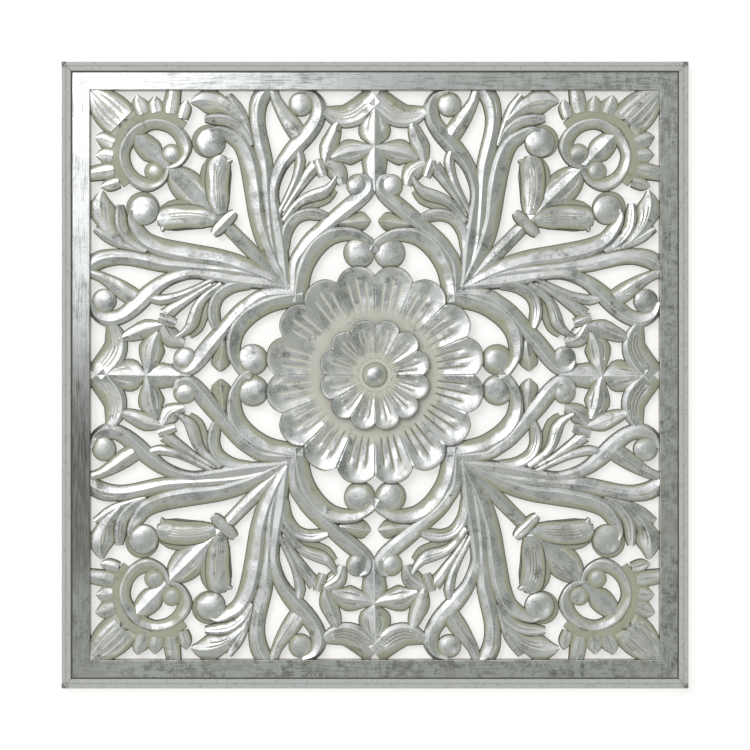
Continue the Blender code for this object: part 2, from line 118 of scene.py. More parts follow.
# Strokes off the mirror lines, made eight times.
strokes = {
    "innerCrook": ("stem", {"leaf": 0.56, "crest": -0.55, "bow": -0.25, "slope": 0.24}, (
        (26.6, 25.4, 5.6), (26.1, 31, 5.8), (24.3, 38, 5.8), (20.2, 45, 6.6),
        (14.6, 48.9, 6), (8, 49.6, 4.8), (3.9, 48.3, 3.8), (1, 46, 3.8), (-0.8, 43.5, 3))),
    "ribbon": ("stem", {"crest": 0.28, "bow": 0.0, "slope": 0.34}, (
        (29.2, 28.4, 4.4), (28.4, 39, 4.3), (25.5, 43.9, 5), (22.2, 47.9, 5.4),
        (15.6, 53.6, 5.8), (10.8, 57.8, 6.2), (5.8, 61.8, 6.2), (2.3, 65.3, 5.2),
        (2.4, 68.8, 3.4), (5, 70.4, 1.8))),
    "bract": ("leaf", {"top": 9.6, "leaf": 0.35}, (
        (14, 53.4, 1.2), (9, 53.6, 4.4), (4.6, 54.3, 7), (2.6, 54.4, 4.4), (1.2, 54.6, 0.6))),
    "sidePetal": ("leaf", {"grooves": ((0.42, 0.35, 0.85), (-0.42, 0.35, 0.85))}, (
        (-1, 80.4, 1.5), (3.5, 79.3, 5.5), (7, 78.9, 8.5), (9.8, 78.4, 9.3),
        (12.2, 77.6, 6.4), (15.2, 76.2, 2.4))),
    "upperLeaflet": ("leaf", {"top": 12.0, "grooves": ((0.0, 0.25, 0.80),)}, (
        (17.8, 74.5, 2.5), (16.5, 80, 6.6), (14.8, 84, 5.8), (13.7, 87, 4.5), (12.6, 90, 1.5))),
    "lowerLeaflet": ("leaf", {"top": 12.0, "grooves": ((0.35, 0.15, 0.80), (-0.2, 0.15, 0.80))}, (
        (17.8, 74.4, 4.8), (13.8, 72.2, 7.4), (12.1, 69.4, 5.6), (11.4, 67, 3.2))),
    "budCollar": ("bar", {"top": 13.0, "slope": 0.16, "crestHighlight": 0.4,
                          "grooves": ((0.5, 0.0, 1.0), (-0.5, 0.0, 1.0))}, (
        (20.2, 76, 3.4), (19.6, 74, 4.2), (18.9, 72, 4.2), (18.2, 70, 3.4))),
    "bud": ("leaf", {"top": 12.2, "grooves": ((0.0, 0.45, 0.98),)}, (
        (31.8, 57.5, 2), (28.3, 63.3, 2.6), (25.4, 67.6, 3.6), (23.2, 71, 4.6), (21, 73.6, 5.6))),
    "crescent": ("leaf", {"crest": 0.62, "bow": -0.35, "slope": 0.30,
                          "grooves": ((0.25, 0.12, 0.80), (-0.02, 0.10, 0.85), (-0.28, 0.12, 0.80))}, (
        (17.8, 93.2, 3.5), (15, 92, 6.5), (11, 91.2, 8.4), (7, 92.4, 9.4),
        (3.2, 95.3, 9), (0, 98, 8.4))),
    "topCrook": ("stem", {"crest": 0.30, "bow": 0.0}, (
        (31.2, 30, 2.5), (32.4, 37, 5), (33.4, 46, 5.8), (35, 56, 5),
        (35.9, 65, 4.6), (33.2, 73.5, 5), (29, 79.3, 6.2), (24.3, 84.3, 6.4),
        (20.7, 89.2, 5.8), (19.7, 94, 5.8), (21.5, 98.2, 3.8), (25.5, 99.8, 2))),
    "strap": ("leaf", {"top": 11.2, "slope": 0.22, "grooves": ((0.1, 0.05, 0.95),)}, (
        (36, 101, 3.5), (34.6, 96.5, 4), (32, 92, 5.5), (29.2, 88, 6.8), (27, 84.5, 6.5))),
    "finger": ("stem", {"top": 12.4, "crest": 0.0, "bow": 0.25, "grooves": ((0.35, 0.04, 0.22),)}, (
        (38, 101, 6), (40.7, 96.5, 6.6), (41.6, 91, 6), (41.2, 86, 5.8),
        (40, 80, 6), (38.6, 74, 5.5), (37.9, 66, 4.4), (37.2, 56, 3.4),
        (36, 46, 3), (33.8, 37, 2))),
    "smallLeaf": ("leaf", {"grooves": ((-0.05, 0.12, 0.60),)}, (
        (51.4, 98.6, 2.4), (48.6, 94, 4.3), (46.3, 90, 3.6), (44.6, 86, 2), (43, 81, 0.8))),
    "capLeaf": ("leaf", {"top": 12.0, "slope": 0.20, "crest": -0.10,
                         "grooves": ((0.05, 0.25, 0.80), (0.35, 0.30, 0.75))}, (
        (64.8, 96, 1), (61, 96.5, 7), (57.5, 96, 9.2), (54, 95, 6.5),
        (50.5, 93, 4.6), (46.5, 89.5, 3))),
    "strapLeaf": ("leaf", {"top": 12.4, "crest": -0.35, "grooves": ((0.05, 0.10, 0.70),)}, (
        (60, 90, 2.6), (56, 89.9, 4.6), (52, 89.4, 4.8), (48.5, 87.5, 4.5),
        (45.5, 84.5, 3.5), (43.5, 80.5, 2))),
    "mainStem": ("stem", {"crest": -0.42, "bow": 0.30, "leaf": 0.60}, (
        (58, 85.6, 1.2), (55.5, 86.2, 2.6), (51.5, 84.2, 5), (47.3, 81, 6.2),
        (44.6, 75, 6.8), (42.6, 65, 7), (41.3, 55, 6.2), (39, 47, 6),
        (36, 40, 4.6), (31.5, 31.5, 4))),
    "tulipLayer": ("layer", {"top": 8.6, "leaf": 0.12}, (
        (55.8, 60, 9), (56.3, 67, 11), (55.8, 72.5, 10.5), (55, 77.2, 5))),
    "tulipLobe": ("stem", {"top": 13.2, "crestHighlight": 0.3, "slope": 0.12, "bow": 0.5, "leaf": 0.62,
                           "grooves": ((-0.25, 0.14, 0.84), (0.0, 0.08, 0.80), (0.22, 0.14, 0.76))}, (
        (54.3, 56.5, 4.5), (55.1, 61, 7.8), (55.6, 66.5, 8.6), (55.3, 71, 8.8),
        (54.8, 74, 8.4), (54.5, 75.5, 6.6), (54.4, 76.3, 4.4), (54.3, 76.8, 1.6))),
    "tulipHook": ("leaf", {"top": 12.6, "leaf": 0.62, "slope": 0.20, "crestHighlight": 0.3}, (
        (55.4, 71.6, 3.4), (53.4, 73.6, 3.6), (51.6, 74.8, 2.2), (50.2, 75.3, 0.6))),
    "horn": ("stem", {"top": 13.2, "crest": -0.50, "bow": 0.15, "slope": 0.30, "leaf": 0.50}, (
        (84.9, 84.5, 4.8), (83.9, 85.5, 4.8), (80.8, 87.5, 4.4), (77, 88.4, 4.2), (72.2, 87.2, 4.4),
        (68.5, 84.1, 5), (66.9, 80.3, 5.2), (67.1, 77, 3.2), (68.7, 74.7, 2.6),
        (71, 73.4, 2.2), (73.6, 72.9, 1.4))),
    "twigLeaf": ("leaf", {"top": 11.8}, (
        (33.8, 56.5, 2), (31, 62, 2.6), (28.6, 67, 3), (27.2, 71, 3.4),
        (26.3, 75.5, 4), (27, 79, 3))),
    "brightLeaf": ("leaf", {"top": 12.6, "crest": -0.2, "grooves": ((0.0, 0.35, 0.80),)}, (
        (31.8, 54, 3), (27.5, 59.8, 3.2), (23.5, 62.4, 4.2), (19, 63.8, 4.8),
        (16.2, 65.6, 3.6), (14.4, 68, 2.4), (13.4, 70, 1.6))),
    "leafLayer": ("layer", {}, (
        (30.5, 55.5, 4.4), (22, 60.5, 5), (17, 62.8, 5), (14.2, 65.5, 3))),
    "hookLeaf": ("leaf", {"top": 12.2, "crest": -0.5,
                          "grooves": ((-0.05, 0.35, 0.90), (0.35, 0.40, 0.90))}, (
        (31.5, 44, 3), (31, 50, 4.4), (28, 54.8, 4.6), (23.8, 56.6, 4.6),
        (20, 56.4, 4.6), (16.6, 55.6, 3))),
    "fanStrip": ("layer", {"top": 11.0, "slope": 0.04, "leaf": 0.10, "wash": 0.04}, (
        (87.6, 87.4, 3.4), (82.5, 90.4, 3.4), (77.2, 91.5, 3.4), (71.4, 90.4, 3.4), (67.1, 87.6, 2.8))),
    "fanLayer": ("layer", {"top": 10.3, "slope": 0.02, "leaf": -0.2, "wash": 0.20}, (
        (91, 91.6, 3), (87.4, 92.2, 5.4), (83.4, 92.7, 6.2), (78.4, 92.9, 6.4), (73.4, 92.9, 6.4),
        (68, 91.6, 5.4))),
    "firstFlute": ("flute", {}, (
        (81.4, 91.9, 5.2), (82.4, 94.2, 6.4), (83.2, 96.2, 5.2), (83.6, 98.4, 0.6))),
    "secondFlute": ("flute", {}, (
        (76.8, 92.4, 5.2), (77.2, 94.4, 5.8), (77.3, 96.2, 4.8), (77.3, 98.2, 0.6))),
    "linkFlute": ("flute", {}, (
        (72.1, 92, 5), (71.6, 95, 6), (70.6, 101, 5.2))),
    "endFlute": ("flute", {}, (
        (67.9, 90.2, 4), (67.2, 92.6, 4.8), (66.6, 94.8, 4), (66.3, 96.7, 0.6))),
}

# Strokes on the upright axis or the diagonal, made four times.
middleStrokes = {
    "kite": ("leaf", {"top": 11.8, "slope": 0.30, "crestHighlight": 0.45,
                      "grooves": ((0.45, 0.45, 0.92), (-0.45, 0.45, 0.92))}, (
        (54, 54, 8), (60.8, 60.8, 10), (66.3, 66.3, 12), (70.1, 70.1, 8.9), (72.6, 72.6, 3))),
    "innerKite": ("leaf", {"top": 11.0, "slope": 0.30, "crestHighlight": 0.35}, (
        (84, 84, 6), (81, 81, 8.4), (78.5, 78.5, 8.6), (76, 76, 5), (72.5, 72.5, 4))),
    "cornerLeaf": ("leaf", {"top": 13.9, "crestHighlight": 0.6, "slope": 0.08, "bow": 0.0, "leaf": 0.80,
                            "grooves": ((0.0, 0.02, 0.86), (0.36, 0.05, 0.72), (-0.36, 0.05, 0.72),
                                        (0.68, 0.05, 0.52), (-0.68, 0.05, 0.52))}, (
        (89, 89, 12.6), (91.4, 91.4, 13.8), (94.8, 94.8, 12.4), (98.6, 98.6, 7.2),
        (101.7, 101.7, 0.8))),
    "rootLayer": ("layer", {"top": 9.0}, ((23.0, 23.0, 4.0), (32.0, 32.0, 4.0))),
    "tulipStem": ("stem", {"top": 12.2, "slope": 0.45, "crestHighlight": 0.4}, (
        (33, 33, 1.5), (37, 37, 3.4), (42, 42, 5.2), (52, 52, 5))),
    "tulipCollar": ("bar", {"top": 14.3, "crestHighlight": 0.0, "slope": 0.30, "bow": 0.6, "leaf": 0.70,
                            "grooves": ((0.0, 0.06, 0.98),)}, (
        (57.2, 49.2, 2.4), (56, 50.4, 4.2), (53.2, 53.2, 4.8), (50.4, 56, 4.2), (49.2, 57.2, 2.4))),
    "lowPetal": ("leaf", {"slope": 0.26}, (
        (0, 80.5, 1.5), (0, 76, 9), (0, 73.5, 8.8), (0, 71, 8), (0, 68, 4.2),
        (0, 64.6, 0.4))),
    "highPetal": ("leaf", {"slope": 0.26, "grooves": ((0.4, 0.3, 0.8), (-0.4, 0.3, 0.8))}, (
        (0, 80.7, 1.5), (0, 83.5, 10), (0, 87, 11.6), (0, 90, 9), (0, 93, 4),
        (0, 95.2, 0.4))),
}

# Balls in the crooks: across, up, radius, edge height, top height and how much leaf covers them.
balls = {
    "innerBall": (5.4, 43.0, 5.6, 8.4, 12.2, 0.80),
    "ribbonBall": (6.0, 66.8, 4.1, 9.0, 12.2, 0.80),
    "topBall": (26.1, 95.3, 4.3, 8.6, 11.8, 0.85),
    "stemBall": (57.9, 81.6, 5.3, 9.0, 12.8, 0.95),
    "stemBallLayer": (58.7, 82.1, 5.9, 7.6, 8.2, -0.20),
    "hornBall": (71.6, 77.75, 3.6, 8.8, 11.8, 0.60),
}

# The marks that the materials read: cut edge, cut line, cover of leaf, way down a flank, painted crest
# highlight.
markNames = ("rim", "groove", "leaf", "flank", "ridge")


def linearColour(code):
    parts = [int(code[i:i + 2], 16) / 255 for i in (1, 3, 5)]
    return tuple(v / 12.92 if v <= 0.04045 else ((v + 0.055) / 1.055) ** 2.4 for v in parts) + (1,)


def addNode(tree, kind, settings=None, *values, **named):
    # One node with its settings; values go to its sockets in order, named ones by name.
    node = tree.nodes.new(kind)
    for key, value in (settings or {}).items():
        setattr(node, key, value)
    wanted = [(node.inputs[i], value) for i, value in enumerate(values) if value is not None]
    wanted += [(node.inputs[key.replace("_", " ")], value) for key, value in named.items()]
    for socket, value in wanted:
        if isinstance(value, bpy.types.NodeSocket):
            tree.links.new(value, socket)
        else:
            socket.default_value = value
    return node


def addMath(tree, operation, *values):
    return addNode(tree, "ShaderNodeMath", {"operation": operation}, *values).outputs[0]


def addScaled(tree, value, factor, more):
    return addMath(tree, "MULTIPLY_ADD", value, factor, more)


def addBlend(tree, factor, first, second):
    # Two colours blended, each a hex code or a socket.
    node = addNode(tree, "ShaderNodeMix", {"data_type": "RGBA"}, factor)
    for socket, value in ((node.inputs[6], first), (node.inputs[7], second)):
        if isinstance(value, str):
            socket.default_value = linearColour(value)
        else:
            tree.links.new(value, socket)
    return node.outputs[2]


def addMix(tree, factor, first, second):
    return addNode(tree, "ShaderNodeMix", {"data_type": "FLOAT"}, factor, A=first, B=second).outputs[0]


def addRange(tree, value, low, high, toLow=0.0, toHigh=1.0):
    # Brings a value from one range to another, softly at both ends.
    settings = {"interpolation_type": "SMOOTHSTEP"}
    return addNode(tree, "ShaderNodeMapRange", settings, value, low, high, toLow, toHigh).outputs[0]


def addNoise(tree, place, size, detail=3.0, roughness=0.55, stretch=None):
    # Noise whose patches are about one size in millimetres, drawn out by the stretch.
    if stretch:
        place = addNode(tree, "ShaderNodeMapping", None, place, Scale=stretch).outputs[0]
    return addNode(tree, "ShaderNodeTexNoise", None, Vector=place, Scale=1000 / size, Detail=detail,
                   Roughness=roughness).outputs[0]


def addBump(tree, strength, distance, height, **normal):
    return addNode(tree, "ShaderNodeBump", None, Strength=strength, Distance=distance, Height=height,
                   **normal).outputs[0]


def addMark(tree, name):
    return addNode(tree, "ShaderNodeAttribute", {"attribute_name": name}).outputs["Fac"]


def addSurface(tree, **sockets):
    shader = addNode(tree, "ShaderNodeBsdfPrincipled", None, **sockets)
    addNode(tree, "ShaderNodeOutputMaterial", None, shader.outputs[0])


def addObject(name, data):
    item = bpy.data.objects.new(name, data)
    bpy.context.scene.collection.objects.link(item)
    return item


# In these dictionaries a noise is its size in millimetres, detail, roughness and stretch, a range is
# from where to where (and between which values), and a bump is its strength and depth in metres.
bareWood = {
    "wood": "#8f8069",
    "grain": "#6d5f4a",
    "grainNoise": (3.0, 3.0, 0.6, (1, 1, 0.08)),
    "grainRange": (0.35, 0.7),
    "turnedAway": (0.6, 0.8),
}


def addBareBack(tree, place, colour):
    # The back was never painted: plain wood with upright grain. Gives the colour and how bare it is.
    normal = addNode(tree, "ShaderNodeNewGeometry").outputs["True Normal"]
    away = addNode(tree, "ShaderNodeSeparateXYZ", None, normal).outputs["Y"]
    behind = addRange(tree, away, *bareWood["turnedAway"])
    grain = addRange(tree, addNoise(tree, place, *bareWood["grainNoise"]), *bareWood["grainRange"])
    wood = addBlend(tree, grain, bareWood["wood"], bareWood["grain"])
    return addBlend(tree, behind, colour, wood), behind


def newMaterial(name):
    material = bpy.data.materials.new(name)
    material.use_nodes = True
    material.node_tree.nodes.clear()
    return material, material.node_tree


silverLeaf = {
    "bright": "#f1f3f4",
    "tarnish": "#acafae",
    "paint": "#babba3",
    "washedPaint": "#cdcebc",
    "hollowWash": "#eeede2",
    "grooveWash": "#f2f1e8",
    "grooveShade": "#a3a294",
    "darkEdgeLine": "#423f35",
    "grime": "#67665a",
    "highlightWhite": "#ffffff",
    "noises": ((34, 3.0), (9, 4.0, 0.6), (1.6, 2.0), (2.6, 3.0, 0.7), (24, 5.0, 0.7), (42, 1.0)),
    "gloss": (0.3, 0.7, 0.24, 0.40),
    "paintRoughness": 0.55,
    "facetBump": (1.0, 0.0042),
    "crinkleBump": (0.35, 0.0010),
    "scratchDepth": 0.45,
    "bareFlank": (0.30, 0.90),  # where on a flank the leaf is rubbed off, and by how much
    "bareLoss": -0.52,
    "rimLoss": -0.4,
    "cutLoss": -0.9,
    "patchShare": 1.2,
    "speckShare": 0.12,
    "scratchShare": 0.6,
    "leafEdge": (0.80, 1.22),
    "cutRange": (0.03, 0.32),
    "deepCut": (0.40, 0.60),
    "tarnishRange": (0.77, 1.10),
    "flankFootDarkening": (0.78, 1.0, 0.0, 0.40),
    "grimeRange": (0.565, 0.74, 0.0, 0.75),
    "highlightRange": (0.30, 0.85, 0.0, 0.9),
    "edgeRange": (0.55, 1.0),
    "shadedSide": (-0.08, 0.16),  # metres, from upper left to lower right, over which the cuts are painted darker as painted shade
}


def makeCarvedSilver(spec):
    # Silver leaf rubbed over greige paint: bright and crinkled on the raised planes, the paint left
    # along the flanks and in the cuts, and a dark line along the cut edges. A painted white highlight
    # lies on the crests, and painted shade darkens the cuts toward the lower right.
    material, tree = newMaterial("silver_leaf_over_greige_paint")
    place = addNode(tree, "ShaderNodeTexCoord").outputs["Object"]
    patches, crinkle, specks, fine, grime, facets = (
        addNoise(tree, place, *noise) for noise in spec["noises"])
    rim, groove, leaf, flank, ridge = (addMark(tree, name) for name in markNames)
    cover = addScaled(tree, patches, spec["patchShare"], leaf)
    cover = addScaled(tree, specks, spec["speckShare"], cover)
    bare = addRange(tree, flank, *spec["bareFlank"])
    cover = addScaled(tree, bare, spec["bareLoss"], cover)
    cover = addScaled(tree, rim, spec["rimLoss"], cover)
    silver = addRange(tree, cover, *spec["leafEdge"])
    cut = addRange(tree, groove, *spec["cutRange"])
    silver = addMath(tree, "MULTIPLY", silver, addScaled(tree, cut, spec["cutLoss"], 1.0))
    dark = addScaled(tree, fine, spec["scratchShare"], patches)
    metal = addBlend(tree, addRange(tree, dark, *spec["tarnishRange"]), spec["bright"], spec["tarnish"])
    paint = addBlend(tree, patches, spec["paint"], spec["washedPaint"])
    # The paint turns darker toward the foot of each flank.
    paint = addBlend(tree, addRange(tree, flank, *spec["flankFootDarkening"]), paint, spec["grime"])
    # Cut lines keep a pale wash toward the upper left and are painted darker toward the lower right, as
    # painted shade.
    spot = addNode(tree, "ShaderNodeSeparateXYZ", None, place)
    along = addMath(tree, "SUBTRACT", spot.outputs["X"], spot.outputs["Z"])
    along = addRange(tree, along, *spec["shadedSide"])
    wash = addBlend(tree, along, spec["grooveWash"], spec["grooveShade"])
    wash = addBlend(tree, addRange(tree, groove, *spec["deepCut"]), spec["hollowWash"], wash)
    paint = addBlend(tree, cut, paint, wash)
    colour = addBlend(tree, silver, paint, metal)
    colour = addBlend(tree, addRange(tree, grime, *spec["grimeRange"]), colour, spec["grime"])
    # A painted white highlight along the crests: matte white, with the metal taken out under it.
    highlighted = addRange(tree, ridge, *spec["highlightRange"])
    colour = addBlend(tree, highlighted, colour, spec["highlightWhite"])
    edge = addRange(tree, rim, *spec["edgeRange"])
    colour, behind = addBareBack(tree, place, addBlend(tree, edge, colour, spec["darkEdgeLine"]))
    painted = addMath(tree, "MAXIMUM", edge, behind)
    metallic = addMath(tree, "MULTIPLY", silver, addMath(tree, "SUBTRACT", 1.0, painted))
    metallic = addMath(tree, "MULTIPLY", metallic, addMath(tree, "SUBTRACT", 1.0, highlighted))
    gloss = addRange(tree, crinkle, *spec["gloss"])
    rough = addMix(tree, metallic, spec["paintRoughness"], gloss)
    relief = addScaled(tree, fine, spec["scratchDepth"], crinkle)
    bump = addBump(tree, *spec["facetBump"], facets)
    bump = addBump(tree, *spec["crinkleBump"], relief, Normal=bump)
    addSurface(tree, Base_Color=colour, Metallic=metallic, Roughness=rough, Normal=bump)
    return material


bandLeaf = {
    "bright": "#eceeef",
    "tarnish": "#a2a5a3",
    "streak": "#6b6c69",
    "darkEdgeLine": "#75726a",
    "gloss": (0.4, 0.7, 0.13, 0.26),
    "levelStreaks": (2.2, 3.0, 0.6, (0.06, 1, 1)),
    "plumbStreaks": (2.2, 3.0, 0.6, (1, 1, 0.06)),
    "patches": (40, 4.0, 0.6),
    "worn": (10, 5.0, 0.75),
    "streakBump": (0.25, 0.0006),
    "darkShares": (0.5, 0.6),  # how much the streaks and the patches tarnish it
    "mitre": (-0.002, 0.002),
    "leafSize": 0.079,  # the side of one leaf, metres
    "firstJoint": 1.001,
    "jointRange": (0.0, 0.0009, 0.6, 0.0),
    "tarnishRange": (0.50, 0.80),
    "streakRange": (0.60, 0.74, 0.0, 0.3),
    "darkeningTop": (0.10, -0.12),  # metres up, where the left rail begins to be painted darker, as painted shade for its dimmer reflection, streaked with tarnish
    "darkeningFoot": (-0.33, -0.24, 0.35, 1.0),
    "darkeningSide": (-0.36, -0.42),
    "darkeningStreak": (0.30, 0.66, 0.55, 1.0),
    "shadedSide": (0.45, -0.1),  # metres, from upper left to lower right, over which the band is painted darker and duller as painted shade
    "scuffStreaks": 0.45,
    "scuffRange": (0.64, 0.92),
    "scuffShares": (0.85, 0.15),  # how much more of it is painted toward the lower right as painted shade, and how much lies everywhere as scuffing
    "cloudStreaks": 0.6,
    "cloudRange": (0.58, 1.0, 0.0, 0.7),
    "edgeRange": (0.45, 0.95),
    "scuffAndShade": "#636158",
    "paintedDullReflection": "#c4c7c0",
    "paintedReflectionDulls": -0.7,
    "backRougher": 0.4,
}


def makeBandSilver(spec):
    # Silver leaf burnished along the flat border: fine streaks, cloudy tarnish, faint joints, and painted
    # shade that darkens and dulls it toward the lower right and down the lower left rail.
    material, tree = newMaterial("burnished_silver_leaf_band")
    place = addNode(tree, "ShaderNodeTexCoord").outputs["Object"]
    spot = addNode(tree, "ShaderNodeSeparateXYZ", None, place)
    across, up = spot.outputs["X"], spot.outputs["Z"]
    sideways, upwards = (addMath(tree, "ABSOLUTE", value) for value in (across, up))
    upright = addRange(tree, addMath(tree, "SUBTRACT", sideways, upwards), *spec["mitre"])
    level, plumb, patches, worn = (
        addNoise(tree, place, *spec[name]) for name in ("levelStreaks", "plumbStreaks", "patches", "worn"))
    streak = addMix(tree, upright, level, plumb)
    streakShare, patchShare = spec["darkShares"]
    dark = addScaled(tree, streak, streakShare, addMath(tree, "MULTIPLY", patches, patchShare))
    metal = addBlend(tree, addRange(tree, dark, *spec["tarnishRange"]), spec["bright"], spec["tarnish"])
    metal = addBlend(tree, addRange(tree, streak, *spec["streakRange"]), metal, spec["streak"])
    # The lower part of the left rail is painted darker: painted shade for its dimmer reflection there, laid
    # along the streaks.
    lowLeftDarkening = addRange(tree, up, *spec["darkeningTop"])
    for value, name in ((across, "darkeningSide"), (up, "darkeningFoot"), (streak, "darkeningStreak")):
        lowLeftDarkening = addMath(tree, "MULTIPLY", lowLeftDarkening, addRange(tree, value, *spec[name]))
    metal = addBlend(tree, lowLeftDarkening, metal, spec["streak"])
    along = addMix(tree, upright, across, up)
    joint = addMath(tree, "PINGPONG", addMath(tree, "ADD", along, spec["firstJoint"]), spec["leafSize"] / 2)
    joint = addMath(tree, "MULTIPLY", addRange(tree, joint, *spec["jointRange"]), patches)
    metal = addBlend(tree, joint, metal, spec["tarnish"])
    # Toward the lower right the band is painted darker with scuffs and duller with a pale matte tone:
    # painted shade and a painted dull reflection, broken up by the streaks and patches.
    shadedSide = addRange(tree, addMath(tree, "SUBTRACT", up, across), *spec["shadedSide"])
    scuffAndShade = addRange(tree, addScaled(tree, streak, spec["scuffStreaks"], worn), *spec["scuffRange"])
    scuffAndShade = addMath(tree, "MULTIPLY", scuffAndShade, addScaled(tree, shadedSide, *spec["scuffShares"]))
    metal = addBlend(tree, scuffAndShade, metal, spec["scuffAndShade"])
    cloud = addRange(tree, addScaled(tree, streak, spec["cloudStreaks"], patches), *spec["cloudRange"])
    cloud = addMath(tree, "MULTIPLY", shadedSide, cloud)
    metal = addBlend(tree, cloud, metal, spec["paintedDullReflection"])
    edge = addRange(tree, addMark(tree, "rim"), *spec["edgeRange"])
    colour, behind = addBareBack(tree, place, addBlend(tree, edge, metal, spec["darkEdgeLine"]))
    metallic = addMath(tree, "SUBTRACT", 1.0, addMath(tree, "MAXIMUM", edge, behind))
    metallic = addMath(tree, "MULTIPLY", metallic, addScaled(tree, cloud, spec["paintedReflectionDulls"], 1.0))
    gloss = addScaled(tree, behind, spec["backRougher"], addRange(tree, dark, *spec["gloss"]))
    bump = addBump(tree, *spec["streakBump"], streak)
    addSurface(tree, Base_Color=colour, Metallic=metallic, Roughness=gloss, Normal=bump)
    return material


carvedSilver, bandSilver = makeCarvedSilver(silverLeaf), makeBandSilver(bandLeaf)


class reliefMesh:
    # Collects the vertices and faces of one part of the relief, the marks on its vertices, and the
    # outlines of its foot in metres.
    def __init__(self):
        self.places, self.faces, self.feet = [], [], []
        self.marks = {name: [] for name in markNames}

    def point(self, across, up, height, rim=0.0, groove=0.0, leaf=0.6, flank=0.0, ridge=0.0):
        self.places.append((across * unit / 1000, -height / 1000, up * unit / 1000))
        for name, value in zip(markNames, (rim, groove, leaf, flank, ridge)):
            self.marks[name].append(value)
        return len(self.places) - 1

    def ring(self, across, up, radius, sides, *marks):
        # A ring of points that ends with its first point again.
        angles = [2 * math.pi * i / sides for i in range(sides)]
        points = [self.point(across + radius * math.cos(angle), up + radius * math.sin(angle), *marks)
                  for angle in angles]
        return points + points[:1]

    def face(self, corners):
        self.faces.append(tuple(corners))

    def grid(self, rows, turned=False):
        for lower, upper in zip(rows, rows[1:]):
            for i in range(len(lower) - 1):
                near, far = (i + 1, i) if turned else (i, i + 1)
                self.face((lower[near], lower[far], upper[far], upper[near]))

    def stand(self, foot):
        self.feet.append([(self.places[i][0], self.places[i][2]) for i in foot])

    def addCopy(self, part, flipAcross, flipUp, swap):
        # The same relief again, mirrored by sign flips and by swapping across with up.
        def moved(x, z):
            return (flipAcross * z, flipUp * x) if swap else (flipAcross * x, flipUp * z)

        start = len(self.places)
        for x, y, z in part.places:
            across, up = moved(x, z)
            self.places.append((across, y, up))
        self.feet += [[moved(x, z) for x, z in outline] for outline in part.feet]
        for name, values in part.marks.items():
            self.marks[name] += values
        turned = (flipAcross * flipUp * (-1 if swap else 1)) < 0
        for corners in part.faces:
            self.face(start + i for i in (corners[::-1] if turned else corners))

    def makeObject(self, name):
        mesh = bpy.data.meshes.new(name)
        mesh.from_pydata(self.places, [], self.faces)
        for mark, values in self.marks.items():
            layer = mesh.attributes.new(mark, "FLOAT", "POINT")
            layer.data.foreach_set("value", values)
        return addObject(name, mesh)


def curveThrough(rows, spacing):
    # Rows along a smooth curve through the given rows, about one spacing apart.
    if len(rows) == 2:
        return [Vector(row) for row in rows]
    knots = [Vector(row) for row in rows]
    padded = [2 * knots[0] - knots[1]] + knots + [2 * knots[-1] - knots[-2]]
    curve = []
    for before, start, end, after in zip(padded, padded[1:], padded[2:], padded[3:]):
        bend = (end - before).xy.angle((after - start).xy, 0)
        run = (end.xy - start.xy).length
        steps = max(2, math.ceil(run / spacing), math.ceil(bend / drawing["turnStep"]))
        for step in range(steps):
            t = step / steps
            curve.append(0.5 * (
                2 * start + (end - before) * t + (2 * before - 5 * start + 4 * end - after) * t ** 2
                + (3 * start - before - 3 * end + after) * t ** 3))
    return curve + [knots[-1]]


def smoothStep(low, high, value):
    t = min(max((value - low) / (high - low), 0.0), 1.0)
    return t * t * (3 - 2 * t)


def strokeColumns(crest, grooves):
    # Where the columns of a stroke run, from its right edge at -1 to its left edge at 1.
    planes, ridge, width = (drawing[name] for name in ("planeColumns", "ridgeWidth", "grooveWidth"))
    columns = {crest, crest - ridge, crest + ridge}
    for side in (-1, 1):
        columns |= {crest + (side - crest) * i / planes for i in range(planes)}
    for place, start, end in grooves:
        columns = {u for u in columns if abs(u - place) > drawing["grooveClear"] * width or u == crest}
        columns |= {place - width, place, place + width}
    return sorted(columns)


